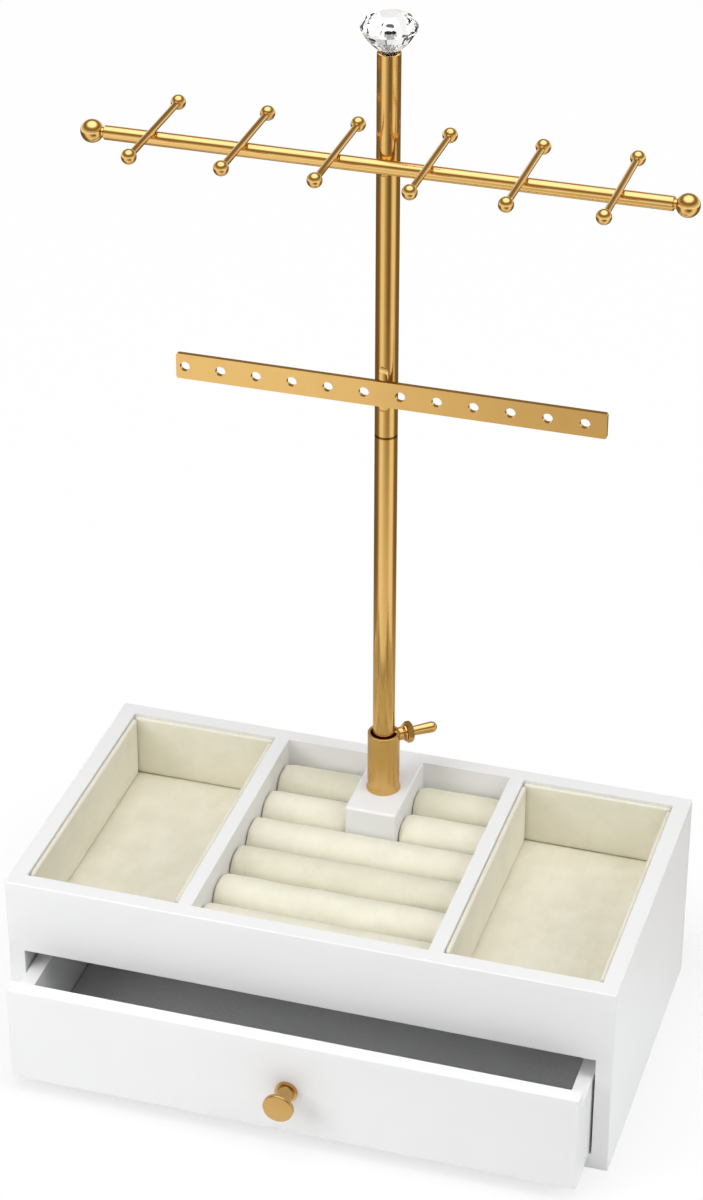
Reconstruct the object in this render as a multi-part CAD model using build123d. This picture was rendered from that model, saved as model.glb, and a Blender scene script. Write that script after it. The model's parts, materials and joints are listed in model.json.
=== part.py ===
from build123d import *
from math import cos, pi, radians, sin
import os

# Jewellery stand: an open-topped painted box with two lined trays, a block of
# ring rolls and one drawer, and a two-piece pole with a hook bar and an
# earring bar, clamped in a sleeve on the box.
#
# Millimetres. X to the right, Y to the back, Z up. The origin is the centre of
# the box's underside. Two pieces that meet share the value that places them.

# ---------------------------------------------------------------- box
CASE_W = 330.0
CASE_D = 182.0
CASE_H = 114.0
BOARD = 9.0              # sides, front rail, back and bottom
EASE = 0.8               # rounding of the painted outer edges
RAIL_H = 43.0            # front rail above the drawer opening
DECK_T = 3.0             # board under the trays
GROOVE = 4.0             # depth that the deck is let in
DIVIDER_T = 8.0
DIVIDER_X = 68.0         # middle of each divider
DIVIDER_EASE = 0.6

FRONT = -CASE_D / 2
BACK = CASE_D / 2
INNER_X = CASE_W / 2 - BOARD
INNER_FRONT = FRONT + BOARD
INNER_BACK = BACK - BOARD
OPENING_TOP = CASE_H - RAIL_H
DECK_TOP = OPENING_TOP + DECK_T
RING_X = DIVIDER_X - DIVIDER_T / 2     # half width of the middle compartment
TRAY_X = DIVIDER_X + DIVIDER_T / 2     # inner side of each side tray

# ---------------------------------------------------------------- dowels
DOWEL_D = 5.0
DOWEL_LEN = 20.0
DOWEL_IN_FACE = 5.5      # the rest of its length is in the other board's end
DOWEL_END = 12.0         # from a board's edge to its outermost dowel

# ---------------------------------------------------------------- linings
LINING_T = 2.5           # velvet on card, walls
LINING_DROP = 1.2        # from the rim down to the lining's top
PAD_T = 1.5              # velvet on card, floors
SOFT_GAP = 0.3

# ---------------------------------------------------------------- ring rolls
ROLL_H = 32.0
ROLL_END_R = 4.0
ROWS_BY_BLOCK = 2
ROWS_IN_FRONT = 4

# ---------------------------------------------------------------- pole block
BLOCK_W = 29.0
BLOCK_D = 54.4
BLOCK_EASE = 1.5
BLOCK_FLOOR = 6.0        # wood left under the pole's bore
BLOCK_SCREW_D = 4.0
BLOCK_SCREW_LEN = 22.0
BLOCK_SCREW_HEAD_D = 8.0
BLOCK_SCREW_HEAD_H = 2.2
BLOCK_SCREW_INSET = 8.0  # from the block's ends

# ---------------------------------------------------------------- pole
POLE_D = 12.0
POLE_WALL = 1.0
POLE_TO_BACK = 29.0      # pole axis to the back board's inner face
POLE_JOINT_Z = 333.7
POLE_TOP_Z = 542.0
POLE_FIT = 0.05          # radial, pole in the block and stud in its socket
JOINT_GAP = 0.2
POLE_Y = INNER_BACK - POLE_TO_BACK
POLE_R = POLE_D / 2
POLE_BORE_R = POLE_R - POLE_WALL
BORE_FLOOR = DECK_TOP + BLOCK_FLOOR
PLUG_LEN = 20.0
STUD_D = 8.0
STUD_LEN = 15.0
STUD_CHAMFER = 0.8

# ---------------------------------------------------------------- sleeve
SLEEVE_D = 17.6
SLEEVE_BORE_D = 14.4
SLEEVE_H = 36.0          # above the block
SLEEVE_SINK = 12.0       # pressed into the block
SLEEVE_FOOT_D = 18.8
SLEEVE_FOOT_H = 2.6
SLEEVE_RIM_R = 0.5
SLEEVE_TOP = CASE_H + SLEEVE_H

# ---------------------------------------------------------------- clamp screw
CLAMP_ANGLE = 38.0       # from +X towards the back
CLAMP_DROP = 3.4         # screw axis below the sleeve's rim
CLAMP_D = 5.0
CLAMP_FIT = 0.05
CLAMP_TIP_GAP = 0.3
BOSS_D = 7.4
BOSS_LEN = 1.6
SCREW_GROOVE = 1.0       # bare shank between the boss and the collar
COLLAR_D = 9.4           # the screw's collar against the nut
COLLAR_T = 1.3
COLLAR_CHAMFER = 0.3
NUT_FLATS = 10.4
NUT_T = 3.4
NUT_CHAMFER = 0.6
HANDLE_LEN = 15.0
HANDLE_ROOT_D = 5.2
HANDLE_END_D = 6.2

# ---------------------------------------------------------------- hook bar
BAR_Z = 485.7
BAR_D = 7.4
BAR_SUNK = 1.0           # how far the pole is let into the bar
BAR_BALL_X = 152.0
BAR_BALL_D = 12.0
BAR_NECK_D = 5.0
BAR_NECK_LEN = 0.6
BAR_CHAMFER = 0.5
BALL_SPIGOT_D = 4.0
BALL_SPIGOT_LEN = 8.0
BAR_R = BAR_D / 2
BAR_Y = POLE_Y - POLE_R - BAR_R + BAR_SUNK

HOOKS = 6
HOOK_PITCH = 47.6
HOOK_ROD_D = 3.5
HOOK_BALL_D = 7.8
HOOK_REACH = 36.0        # bar's axis to each ball's centre
HOOK_SUNK = 0.3          # how far the bar is let into each rod

# ---------------------------------------------------------------- earring bar
STRIP_Z = 360.3
STRIP_H = 14.1
STRIP_T = 2.5
STRIP_LEFT = 111.0       # pole axis to the left end
STRIP_RIGHT = 117.5
STRIP_CORNER_R = 1.2
HOLE_D = 5.4
HOLE_PITCH = 19.3
HOLES = 12
STRIP_BACK = POLE_Y - POLE_R

# ---------------------------------------------------------------- weld beads
STRIP_BEAD_W = 6.4
STRIP_BEAD_UP = 8.0      # how far the upper bead runs up the pole
STRIP_BEAD_DOWN = 4.0
BAR_BEAD_W = 5.6
BAR_BEAD_DROP = 2.2
BEAD_PROUD = 1.6

# ---------------------------------------------------------------- crystal
GEM_D = 28.2
GEM_LIFT = 2.6           # the stone's flat foot stands this far above the rim
GEM_FOOT_D = 13.2
GEM_BOWL_D = 21.0        # where the foot's facets meet the long ones
GEM_BOWL_H = 4.0
GEM_PAVILION_H = 9.9     # foot to girdle
GEM_GIRDLE_H = 1.0
GEM_SHOULDER_D = 23.2    # where the crown's facets meet the star facets
GEM_SHOULDER_H = 3.7
GEM_CROWN_H = 6.4
GEM_TABLE_D = 11.6
GEM_FACETS = 16
GEM_STARS = 8
GEM_NECK_D = 7.6         # the stone's neck, which stands on the plug in the pole
GEM_STUD_D = 4.0
GEM_STUD_IN_GEM = 6.0
GEM_STUD_IN_PLUG = 8.0
GEM_PLUG_DROP = 2.0      # from the rim down to the plug
GEM_PLUG_LEN = 12.0

# ---------------------------------------------------------------- drawer
DRAWER_OUT = 29.7        # how far it stands open
DRAWER_BOARD = 8.0
DRAWER_SIDE_GAP = 1.4
DRAWER_LIFT = 0.3
DRAWER_FRONT_H = 57.7
DRAWER_SIDE_H = 49.0
DRAWER_STOP_GAP = 0.3    # to the back board when shut
DRAWER_EASE = 0.8
DRAWER_FLOOR_T = 3.0
DRAWER_FLOOR_UP = 4.0    # from the sides' lower edges
DRAWER_GROOVE = 4.0
DRAWER_DOWEL_D = 4.0
DRAWER_DOWEL_LEN = 18.0
DRAWER_DOWEL_IN_FACE = 5.0
DRAWER_DOWEL_END = 12.0
FELT_T = 1.5

DRAWER_X = INNER_X - DRAWER_SIDE_GAP
DRAWER_BOTTOM = BOARD + DRAWER_LIFT
DRAWER_FACE = FRONT - DRAWER_OUT
DRAWER_END = INNER_BACK - DRAWER_STOP_GAP - DRAWER_OUT
DRAWER_IN_X = DRAWER_X - DRAWER_BOARD
DRAWER_IN_FRONT = DRAWER_FACE + DRAWER_BOARD
DRAWER_IN_BACK = DRAWER_END - DRAWER_BOARD
DRAWER_SIDE_TOP = DRAWER_BOTTOM + DRAWER_SIDE_H
DRAWER_FLOOR_Z = DRAWER_BOTTOM + DRAWER_FLOOR_UP
DRAWER_FLOOR_TOP = DRAWER_FLOOR_Z + DRAWER_FLOOR_T

# ---------------------------------------------------------------- drawer knob
KNOB_Z = 36.5
KNOB_D = 16.6
KNOB_PROJECTION = 16.5
KNOB_FOOT_D = 12.0
KNOB_FOOT_T = 2.2
KNOB_NECK_D = 8.0
KNOB_DISC_T = 2.8
KNOB_RIM_R = 0.9
KNOB_CROWN = 0.8         # how far the face bulges
KNOB_WAIST = 0.8         # how far the neck is drawn in
KNOB_SCREW_D = 4.0
KNOB_SCREW_FIT = 0.2
KNOB_SCREW_IN = 9.0
KNOB_SCREW_HEAD_D = 7.6
KNOB_SCREW_HEAD_H = 2.4

RECESS_W = 1.0           # cross recess in both kinds of screw head
RECESS_SPAN = 0.6        # share of the head's diameter
RECESS_DEEP = 0.6        # share of the head's height


# ================================================================ helpers
def slab(x, y, z):
    """A board between three pairs of planes."""
    (x0, x1), (y0, y1), (z0, z1) = sorted(x), sorted(y), sorted(z)
    middle = Pos((x0 + x1) / 2, (y0 + y1) / 2, (z0 + z1) / 2)
    return middle * Box(x1 - x0, y1 - y0, z1 - z0)


def rod(diameter, start, direction, length):
    """A round bar from a point along a direction."""
    axis = Plane(origin=start, z_dir=direction)
    return axis * Pos(0, 0, length / 2) * Cylinder(diameter / 2, length)


def turned(outline, start, direction):
    """A solid of revolution from (radius, height) points, standing on start."""
    face = make_face(Plane.XZ * Polyline(*outline, outline[0]))
    return Plane(origin=start, z_dir=direction) * revolve(face, Axis.Z)


def pan_head_screw(diameter, length, head_d, head_h, start, direction):
    """A screw whose head's flat side is at start and whose shank runs on."""
    head = turned([(0, -head_h), (head_d * 0.35, -head_h), (head_d / 2, -head_h * 0.45),
                   (head_d / 2, 0), (diameter / 2, 0), (diameter / 2, length - diameter / 2),
                   (0, length)], (0, 0, 0), (0, 0, 1))
    deep = head_h * RECESS_DEEP
    span = head_d * RECESS_SPAN
    across = Pos(0, 0, -head_h + deep / 2) * Box(span, RECESS_W, deep)
    along = Pos(0, 0, -head_h + deep / 2) * Box(RECESS_W, span, deep)
    return Plane(origin=start, z_dir=direction) * (head - across - along)


def save(name, shape):
    export_step(shape, f"parts/{name}.step")


def save_group(name, solids):
    export_step(Compound(children=[solid.solid() for solid in solids]), f"parts/{name}.step")


# ================================================================ box boards
def spread(low, high, count):
    """Evenly spaced places from low to high."""
    return [low + (high - low) * i / (count - 1) for i in range(count)]


def case_dowel_places():
    """(y, z) on the side boards' inner faces, by the board that each one holds."""
    rail = [(FRONT + BOARD / 2, z) for z in (DECK_TOP + DOWEL_END, CASE_H - DOWEL_END)]
    back = [(BACK - BOARD / 2, z)
            for z in (DOWEL_END + BOARD, OPENING_TOP - DOWEL_END, CASE_H - DOWEL_END)]
    bottom = [(y, BOARD / 2)
              for y in spread(FRONT + 2 * DOWEL_END, INNER_BACK - 2 * DOWEL_END, 3)]
    return {"rail": rail, "back": back, "bottom": bottom}


def case_dowels(side, places):
    """Dowels into the side board on side -1 or +1."""
    start = side * (INNER_X + DOWEL_IN_FACE)
    return [rod(DOWEL_D, (start, y, z), (-side, 0, 0), DOWEL_LEN) for y, z in places]


def drill(board, dowels):
    for dowel in dowels:
        board -= dowel
    return board


def deck_outline(grow=0.0):
    """The deck's own space, as the grooves that take it are cut."""
    reach_x = INNER_X + GROOVE + grow
    return slab((-reach_x, reach_x), (INNER_FRONT - GROOVE, INNER_BACK + GROOVE),
                (OPENING_TOP, DECK_TOP))


def side_board(side):
    board = slab((side * INNER_X, side * CASE_W / 2), (FRONT, BACK), (0, CASE_H))
    outer = board.edges().group_by(Axis.X)[-1 if side > 0 else 0]
    outer = [edge for edge in outer if edge.center().Z > 1]
    ends = board.edges().filter_by(Axis.X).group_by(Axis.Z)[-1]
    board = fillet(outer + list(ends), EASE)
    board -= deck_outline()
    places = case_dowel_places()
    return drill(board, case_dowels(side, places["rail"] + places["back"] + places["bottom"]))


def front_rail():
    board = slab((-INNER_X, INNER_X), (FRONT, INNER_FRONT), (OPENING_TOP, CASE_H))
    top_front = board.edges().filter_by(Axis.X).group_by(Axis.Z)[-1].sort_by(Axis.Y)[0]
    board = fillet(top_front, EASE) - deck_outline()
    places = case_dowel_places()["rail"]
    return drill(board, case_dowels(-1, places) + case_dowels(1, places))


def back_board():
    board = slab((-INNER_X, INNER_X), (INNER_BACK, BACK), (0, CASE_H))
    top_back = board.edges().filter_by(Axis.X).group_by(Axis.Z)[-1].sort_by(Axis.Y)[-1]
    board = fillet(top_back, EASE) - deck_outline()
    places = case_dowel_places()["back"]
    return drill(board, case_dowels(-1, places) + case_dowels(1, places))


def bottom_board():
    board = slab((-INNER_X, INNER_X), (FRONT, INNER_BACK), (0, BOARD))
    places = case_dowel_places()["bottom"]
    return drill(board, case_dowels(-1, places) + case_dowels(1, places))


def block_screws():
    front = INNER_BACK - BLOCK_D + BLOCK_SCREW_INSET
    back = INNER_BACK - BLOCK_SCREW_INSET
    return [pan_head_screw(BLOCK_SCREW_D, BLOCK_SCREW_LEN, BLOCK_SCREW_HEAD_D,
                           BLOCK_SCREW_HEAD_H, (0, y, OPENING_TOP), (0, 0, 1))
            for y in (front, back)]


def tray_deck():
    return drill(deck_outline(), block_screws())


def divider(side):
    board = slab((side * RING_X, side * TRAY_X), (INNER_FRONT, INNER_BACK), (DECK_TOP, CASE_H))
    return fillet(board.edges().filter_by(Axis.Y).group_by(Axis.Z)[-1], DIVIDER_EASE)


def pole_block():
    block = slab((-BLOCK_W / 2, BLOCK_W / 2), (INNER_BACK - BLOCK_D, INNER_BACK), (DECK_TOP, CASE_H))
    top = block.edges().group_by(Axis.Z)[-1]
    sides = top.filter_by(Axis.Y)
    front = top.filter_by(Axis.X).sort_by(Axis.Y)[0]
    corners = block.edges().filter_by(Axis.Z).group_by(Axis.Y)[0]
    block = fillet(list(sides) + [front] + list(corners), BLOCK_EASE)
    block -= rod(POLE_D + 2 * POLE_FIT, (0, POLE_Y, BORE_FLOOR), (0, 0, 1), CASE_H - BORE_FLOOR)
    block -= rod(SLEEVE_D, (0, POLE_Y, CASE_H - SLEEVE_SINK), (0, 0, 1), SLEEVE_SINK)
    return drill(block, block_screws())


# ================================================================ linings
def tray_bounds(side):
    """The side tray's lined space, with the soft gap taken off."""
    x = (side * (TRAY_X + SOFT_GAP), side * (INNER_X - SOFT_GAP))
    return x, (INNER_FRONT + SOFT_GAP, INNER_BACK - SOFT_GAP)


def tray_floor_pad(side):
    x, y = tray_bounds(side)
    return slab(x, y, (DECK_TOP, DECK_TOP + PAD_T))


def tray_wall_lining(side):
    """Four padded strips with rounded tops, the long pair between the short."""
    x, y = tray_bounds(side)
    (x0, x1), (y0, y1) = sorted(x), y
    z = (DECK_TOP + PAD_T, CASE_H - LINING_DROP)
    inner_y = (y0 + LINING_T, y1 - LINING_T)
    strips = [
        slab((x0, x1), (y0, y0 + LINING_T), z),
        slab((x0, x1), (y1 - LINING_T, y1), z),
        slab((x0, x0 + LINING_T), inner_y, z),
        slab((x1 - LINING_T, x1), inner_y, z),
    ]
    rounding = LINING_T * 0.45
    across = [fillet(s.edges().filter_by(Axis.X).group_by(Axis.Z)[-1], rounding) for s in strips[:2]]
    along = [fillet(s.edges().filter_by(Axis.Y).group_by(Axis.Z)[-1], rounding) for s in strips[2:]]
    return across + along


# ================================================================ ring rolls
def ring_roll(x0, x1, y0, y1):
    """A stuffed roll: flat base, round crown, softly rounded ends."""
    radius = (y1 - y0) / 2
    axis_z = DECK_TOP + ROLL_H - radius
    base = slab((x0, x1), (y0, y1), (DECK_TOP, axis_z))
    crown = rod(2 * radius, (x0, (y0 + y1) / 2, axis_z), (1, 0, 0), x1 - x0)
    crown &= slab((x0, x1), (y0, y1), (axis_z, axis_z + radius))
    roll = base + crown
    ends = [edge for edge in roll.edges()
            if abs(edge.center().X - (x0 + x1) / 2) > (x1 - x0) / 2 - 0.01
            and edge.center().Z > DECK_TOP + 0.01]
    return fillet(ends, ROLL_END_R)


def ring_rolls():
    """Rolls by name, from the back row to the front row."""
    block_front = INNER_BACK - BLOCK_D
    back_pitch = BLOCK_D / ROWS_BY_BLOCK
    front_pitch = (block_front - INNER_FRONT) / ROWS_IN_FRONT
    outer, inner = RING_X - SOFT_GAP, BLOCK_W / 2 + SOFT_GAP
    rolls = {}
    for row in range(ROWS_BY_BLOCK):
        y1 = INNER_BACK - row * back_pitch - SOFT_GAP / 2
        y0 = y1 - back_pitch + SOFT_GAP
        rolls[f"ring_roll_{row + 1}_left"] = ring_roll(-outer, -inner, y0, y1)
        rolls[f"ring_roll_{row + 1}_right"] = ring_roll(inner, outer, y0, y1)
    for row in range(ROWS_IN_FRONT):
        y1 = block_front - row * front_pitch - SOFT_GAP / 2
        y0 = y1 - front_pitch + SOFT_GAP
        rolls[f"ring_roll_{row + 1 + ROWS_BY_BLOCK}"] = ring_roll(-outer, outer, y0, y1)
    return rolls


# ================================================================ sleeve and clamp
CLAMP_DIR = (cos(radians(CLAMP_ANGLE)), sin(radians(CLAMP_ANGLE)), 0)
CLAMP_Z = SLEEVE_TOP - CLAMP_DROP
BOSS_END = SLEEVE_D / 2 + BOSS_LEN                       # from the pole's axis
NUT_START = BOSS_END + SCREW_GROOVE + COLLAR_T
HANDLE_START = NUT_START + NUT_T


def clamp_point(reach):
    """A point on the clamp screw's axis, at a reach from the pole's axis."""
    return (reach * CLAMP_DIR[0], POLE_Y + reach * CLAMP_DIR[1], CLAMP_Z)


def sleeve():
    """Tube with a rolled foot and a tapped boss for the clamp screw."""
    foot_r, tube_r, bore_r = SLEEVE_FOOT_D / 2, SLEEVE_D / 2, SLEEVE_BORE_D / 2
    foot = SLEEVE_SINK + SLEEVE_FOOT_H
    top = SLEEVE_SINK + SLEEVE_H
    tube = turned([(bore_r, 0), (tube_r, 0), (tube_r, SLEEVE_SINK), (foot_r, SLEEVE_SINK),
                   (foot_r, SLEEVE_SINK + SLEEVE_FOOT_H / 3), (tube_r, foot),
                   (tube_r, top), (bore_r, top)],
                  (0, POLE_Y, CASE_H - SLEEVE_SINK), (0, 0, 1))
    rim = tube.edges().group_by(Axis.Z)[-1]
    tube = fillet(rim, SLEEVE_RIM_R)
    tube += rod(BOSS_D, clamp_point(bore_r), CLAMP_DIR, BOSS_END - bore_r) - rod(
        2 * (tube_r - POLE_WALL / 2), (0, POLE_Y, CLAMP_Z - BOSS_D), (0, 0, 1), 2 * BOSS_D)
    return tube - rod(CLAMP_D + 2 * CLAMP_FIT, clamp_point(0), CLAMP_DIR, BOSS_END)


def clamp_screw():
    """Shank to the pole, a collar against the nut, and a tapering handle."""
    start = POLE_R + CLAMP_TIP_GAP
    shank_r, collar_r = CLAMP_D / 2, COLLAR_D / 2
    root_r, end_r = HANDLE_ROOT_D / 2, HANDLE_END_D / 2
    collar = NUT_START - COLLAR_T - start
    nut = NUT_START - start
    root = HANDLE_START - start
    end = root + HANDLE_LEN
    outline = [(0, 0), (shank_r - COLLAR_CHAMFER, 0), (shank_r, COLLAR_CHAMFER),
               (shank_r, collar), (collar_r - COLLAR_CHAMFER, collar),
               (collar_r, collar + COLLAR_CHAMFER), (collar_r, nut - COLLAR_CHAMFER),
               (collar_r - COLLAR_CHAMFER, nut), (shank_r, nut), (shank_r, root),
               (root_r, root), (end_r, end - end_r)]
    steps = 6
    for step in range(1, steps):
        angle = radians(90 * step / steps)
        outline.append((end_r * cos(angle), end - end_r + end_r * sin(angle)))
    outline.append((0, end))
    return turned(outline, clamp_point(start), CLAMP_DIR)


def clamp_nut():
    """Hexagon nut locked on the screw, its corners chamfered."""
    corner_r = NUT_FLATS / 2 / cos(pi / 6)
    nut = extrude(RegularPolygon(corner_r, 6), NUT_T)
    dome = turned([(0, 0), (corner_r - NUT_CHAMFER, 0), (corner_r, NUT_CHAMFER),
                   (corner_r, NUT_T - NUT_CHAMFER), (corner_r - NUT_CHAMFER, NUT_T), (0, NUT_T)],
                  (0, 0, 0), (0, 0, 1))
    nut = (nut & dome) - rod(CLAMP_D, (0, 0, 0), (0, 0, 1), NUT_T)
    level = (-CLAMP_DIR[1], CLAMP_DIR[0], 0)
    return Plane(origin=clamp_point(NUT_START), x_dir=level, z_dir=CLAMP_DIR) * nut


# ================================================================ pole
def tube(z0, z1):
    bar = rod(POLE_D, (0, POLE_Y, z0), (0, 0, 1), z1 - z0)
    return bar - rod(2 * POLE_BORE_R, (0, POLE_Y, z0), (0, 0, 1), z1 - z0)


def lower_pole():
    return tube(BORE_FLOOR + CLAMP_TIP_GAP, POLE_JOINT_Z)


def lower_pole_socket():
    """Plug pressed in the lower tube, bored for the stud."""
    plug = rod(2 * POLE_BORE_R, (0, POLE_Y, POLE_JOINT_Z - PLUG_LEN), (0, 0, 1), PLUG_LEN)
    bore = STUD_LEN + STUD_CHAMFER
    return plug - rod(STUD_D + 2 * POLE_FIT, (0, POLE_Y, POLE_JOINT_Z - bore), (0, 0, 1), bore)


def upper_pole():
    return tube(POLE_JOINT_Z + JOINT_GAP, POLE_TOP_Z)


def upper_pole_stud():
    """Plug pressed in the upper tube, with the stud that screws into the lower."""
    bottom = STUD_LEN
    return turned([(0, 0), (STUD_D / 2 - STUD_CHAMFER, 0), (STUD_D / 2, STUD_CHAMFER),
                   (STUD_D / 2, bottom), (POLE_BORE_R, bottom), (POLE_BORE_R, bottom + PLUG_LEN),
                   (0, bottom + PLUG_LEN)],
                  (0, POLE_Y, POLE_JOINT_Z + JOINT_GAP - bottom), (0, 0, 1))


def pole_core(z0, z1):
    return rod(POLE_D, (0, POLE_Y, z0), (0, 0, 1), z1 - z0)


# ================================================================ hook bar
BAR_END_X = BAR_BALL_X - (BAR_BALL_D / 2 + BAR_NECK_LEN)


def hook_bar():
    bar = rod(BAR_D, (-BAR_END_X, BAR_Y, BAR_Z), (1, 0, 0), 2 * BAR_END_X)
    bar = chamfer(bar.edges().filter_by(GeomType.CIRCLE), BAR_CHAMFER)
    for side in (-1, 1):
        bar -= rod(BALL_SPIGOT_D, (side * BAR_END_X, BAR_Y, BAR_Z), (-side, 0, 0), BALL_SPIGOT_LEN)
    return bar - pole_core(BAR_Z - BAR_D, BAR_Z + BAR_D)


def hook_bar_ball():
    """Right end ball with a neck against the bar and a spigot inside it."""
    middle = (BAR_BALL_X, BAR_Y, BAR_Z)
    ball = Pos(*middle) * Sphere(BAR_BALL_D / 2)
    neck = rod(BAR_NECK_D, middle, (-1, 0, 0), BAR_BALL_X - BAR_END_X)
    spigot = rod(BALL_SPIGOT_D, middle, (-1, 0, 0), BAR_BALL_X - BAR_END_X + BALL_SPIGOT_LEN)
    return ball + neck + spigot


def hook_peg(index):
    """A rod across the top of the bar with a ball on both ends."""
    x = (index - (HOOKS - 1) / 2) * HOOK_PITCH
    z = BAR_Z + BAR_R + HOOK_ROD_D / 2 - HOOK_SUNK
    peg = rod(HOOK_ROD_D, (x, BAR_Y - HOOK_REACH, z), (0, 1, 0), 2 * HOOK_REACH)
    for end in (-1, 1):
        peg += Pos(x, BAR_Y + end * HOOK_REACH, z) * Sphere(HOOK_BALL_D / 2)
    return peg - rod(BAR_D, (x - HOOK_BALL_D, BAR_Y, BAR_Z), (1, 0, 0), 2 * HOOK_BALL_D)


# ================================================================ earring bar
def earring_bar():
    """Flat strip with a row of holes, one end cut closer to its last hole."""
    strip = slab((-STRIP_LEFT, STRIP_RIGHT), (STRIP_BACK - STRIP_T, STRIP_BACK),
                 (STRIP_Z - STRIP_H / 2, STRIP_Z + STRIP_H / 2))
    strip = fillet(strip.edges().filter_by(Axis.Y), STRIP_CORNER_R)
    for index in range(HOLES):
        x = (index - (HOLES - 1) / 2) * HOLE_PITCH
        strip -= rod(HOLE_D, (x, STRIP_BACK - STRIP_T, STRIP_Z), (0, 1, 0), STRIP_T)
    return strip


def bead(z, width, height, front, cutters):
    """A lens of weld metal on the pole's front, cut back from what it joins."""
    drop = Pos(0, POLE_Y - POLE_R, z) * scale(Sphere(1), by=(width / 2, front, height))
    for cutter in cutters:
        drop -= cutter
    return drop


def earring_bar_welds():
    strip = slab((-STRIP_LEFT, STRIP_RIGHT), (STRIP_BACK - STRIP_T, BACK),
                 (STRIP_Z - STRIP_H / 2, STRIP_Z + STRIP_H / 2))
    top, bottom = STRIP_Z + STRIP_H / 2, STRIP_Z - STRIP_H / 2
    core = pole_core(bottom - 2 * STRIP_BEAD_UP, top + 2 * STRIP_BEAD_UP)
    return [bead(top, STRIP_BEAD_W, STRIP_BEAD_UP, BEAD_PROUD, (core, strip)),
            bead(bottom, STRIP_BEAD_W, STRIP_BEAD_DOWN, BEAD_PROUD, (core, strip))]


def hook_bar_weld():
    bar = rod(BAR_D, (-BAR_BALL_X, BAR_Y, BAR_Z), (1, 0, 0), 2 * BAR_BALL_X)
    above = slab((-BAR_BEAD_W, BAR_BEAD_W), (BAR_Y - BAR_D, BACK), (BAR_Z, BAR_Z + 2 * BAR_D))
    core = pole_core(BAR_Z - 2 * BAR_D, BAR_Z + 2 * BAR_D)
    return bead(BAR_Z - BAR_R, BAR_BEAD_W, BAR_BEAD_DROP, BAR_R, (core, bar, above))


# ================================================================ crystal
GEM_PLUG_Z = POLE_TOP_Z - GEM_PLUG_DROP
GEM_FOOT_Z = POLE_TOP_Z + GEM_LIFT
GEM_GIRDLE_Z = GEM_FOOT_Z + GEM_PAVILION_H
GEM_CROWN_Z = GEM_GIRDLE_Z + GEM_GIRDLE_H
GEM_TOP_Z = GEM_CROWN_Z + GEM_CROWN_H


def facet_ring(stone, count, turn, low, high):
    """Grind count flats through two (radius, z) points, turned by a share of a step."""
    (r0, z0), (r1, z1) = low, high
    for index in range(count):
        angle = 2 * pi * (index + turn) / count
        out = Vector(cos(angle), sin(angle), 0)
        foot = Vector(0, POLE_Y, 0) + out * r0 + Vector(0, 0, z0)
        rise = out * (r1 - r0) + Vector(0, 0, z1 - z0)
        across = Vector(-sin(angle), cos(angle), 0)
        stone = split(stone, Plane(origin=foot, x_dir=across, z_dir=across.cross(rise)), keep=Keep.BOTTOM)
    return stone


def crystal():
    """Cut stone: girdle, two tiers of pavilion, crown and stars as ground flats."""
    girdle = (GEM_D / 2, GEM_GIRDLE_Z)
    crown = (GEM_D / 2, GEM_CROWN_Z)
    foot = (GEM_FOOT_D / 2, GEM_FOOT_Z)
    bowl = (GEM_BOWL_D / 2, GEM_FOOT_Z + GEM_BOWL_H)
    shoulder = (GEM_SHOULDER_D / 2, GEM_CROWN_Z + GEM_SHOULDER_H)
    table = (GEM_TABLE_D / 2, GEM_TOP_Z)
    stone = rod(1.1 * GEM_D, (0, POLE_Y, GEM_FOOT_Z), (0, 0, 1), GEM_TOP_Z - GEM_FOOT_Z)
    stone = facet_ring(stone, GEM_FACETS, 0, girdle, crown)
    stone = facet_ring(stone, GEM_FACETS, 0, bowl, girdle)
    stone = facet_ring(stone, GEM_FACETS, 0.5, foot, bowl)
    stone = facet_ring(stone, GEM_FACETS, 0.5, crown, shoulder)
    stone = facet_ring(stone, GEM_STARS, 0.5, shoulder, table)
    neck = rod(GEM_NECK_D, (0, POLE_Y, GEM_PLUG_Z), (0, 0, 1), GEM_FOOT_Z - GEM_PLUG_Z)
    return stone + neck - gem_stud()


def gem_stud():
    foot = GEM_PLUG_Z - GEM_STUD_IN_PLUG
    return rod(GEM_STUD_D, (0, POLE_Y, foot), (0, 0, 1), GEM_FOOT_Z + GEM_STUD_IN_GEM - foot)


def gem_plug():
    plug = rod(2 * POLE_BORE_R, (0, POLE_Y, GEM_PLUG_Z - GEM_PLUG_LEN), (0, 0, 1), GEM_PLUG_LEN)
    return plug - gem_stud()


# ================================================================ drawer
def drawer_floor_outline():
    reach = DRAWER_IN_X + DRAWER_GROOVE
    return slab((-reach, reach), (DRAWER_IN_FRONT - DRAWER_GROOVE, DRAWER_IN_BACK + DRAWER_GROOVE),
                (DRAWER_FLOOR_Z, DRAWER_FLOOR_TOP))


def front_dowels():
    """Between the drawer's front and the ends of its sides."""
    x = DRAWER_X - DRAWER_BOARD / 2
    heights = (DRAWER_FLOOR_TOP + DRAWER_DOWEL_END, DRAWER_SIDE_TOP - DRAWER_DOWEL_END)
    return [rod(DRAWER_DOWEL_D, (side * x, DRAWER_IN_FRONT - DRAWER_DOWEL_IN_FACE, z), (0, 1, 0),
                DRAWER_DOWEL_LEN) for side in (-1, 1) for z in heights]


def back_dowels():
    """Between the drawer's sides and the ends of its back."""
    y = DRAWER_END - DRAWER_BOARD / 2
    heights = (DRAWER_FLOOR_TOP + DRAWER_DOWEL_END, DRAWER_SIDE_TOP - DRAWER_DOWEL_END)
    return [rod(DRAWER_DOWEL_D, (side * (DRAWER_IN_X + DRAWER_DOWEL_IN_FACE), y, z), (-side, 0, 0),
                DRAWER_DOWEL_LEN) for side in (-1, 1) for z in heights]


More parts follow.
